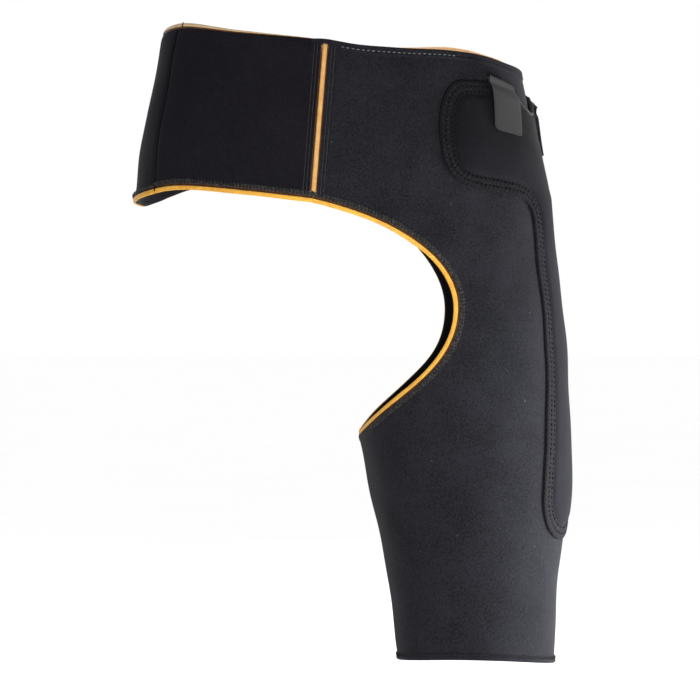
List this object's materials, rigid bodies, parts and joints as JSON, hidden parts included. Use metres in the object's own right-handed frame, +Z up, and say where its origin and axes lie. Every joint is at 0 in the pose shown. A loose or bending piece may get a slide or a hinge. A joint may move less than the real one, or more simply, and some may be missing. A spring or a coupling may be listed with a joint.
{
  "type": "hip brace",
  "caption": "Padded waist belt joined to a hip panel and thigh sleeve in black foam laminate, with bare orange foam edges, a sewn hip pocket and pull tabs.",
  "frame": {"origin": "middle of the waist opening, half way up the belt", "axes": "+X towards the wearer's left, where the thigh sleeve is, +Y to the wearer's back, +Z up"},
  "size_m": [0.3641, 0.2289, 0.5246],
  "materials": {
    "laminate": "smooth black knit face on foam, matte",
    "jersey": "charcoal knit face with a fine grain, matte",
    "foam": "bare cut foam core, matte orange",
    "tape": "black binding tape, satin",
    "webbing": "smooth grey strap, satin"
  },
  "bodies": {
    "root": {"hip_thigh_panel": "jersey", "belt_front_panel": "laminate", "belt_back_panel": "laminate", "front_seam_strip": "foam", "belt_front_lower_edge": "foam", "belt_back_lower_edge": "foam", "belt_front_upper_edge": "foam", "belt_back_upper_edge": "foam", "hip_upper_edge": "foam", "leg_opening_edge": "foam", "top_hem_tape": "tape", "sleeve_hem": "tape", "hip_pocket": "laminate", "pocket_mouth_binding": "tape", "front_tab": "webbing", "rear_tab": "webbing"}
  },
  "joints": []
}
